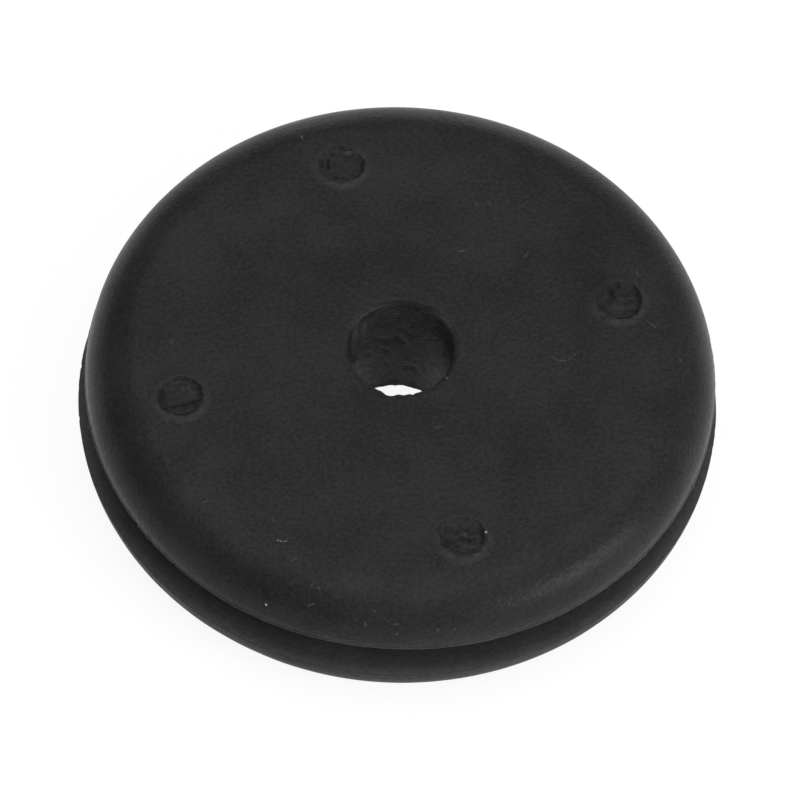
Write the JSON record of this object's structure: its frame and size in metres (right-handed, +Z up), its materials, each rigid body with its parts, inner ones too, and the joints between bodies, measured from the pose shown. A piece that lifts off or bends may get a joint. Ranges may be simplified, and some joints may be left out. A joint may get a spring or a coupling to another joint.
{
  "type": "rubber grommet",
  "caption": "Round black rubber grommet with two thick flanges that have rounded rims, a groove between them for a panel's edge, and a small straight bore for a cable.",
  "frame": {"origin": "centre of the lower flange's outer face, on the bore's axis, where the part rests", "axes": "+Z up along the bore, from the lower flange to the upper one; +X and +Y lie in the resting face, and the first gate mark lies 18.75 degrees from +X towards +Y"},
  "size_m": [0.0448, 0.0448, 0.0107],
  "materials": {
    "rubber": "matt moulded black rubber with a fine grain, faint flow mottling, and a little dust and lint"
  },
  "bodies": {
    "root": {"grommet": "rubber"}
  },
  "joints": []
}
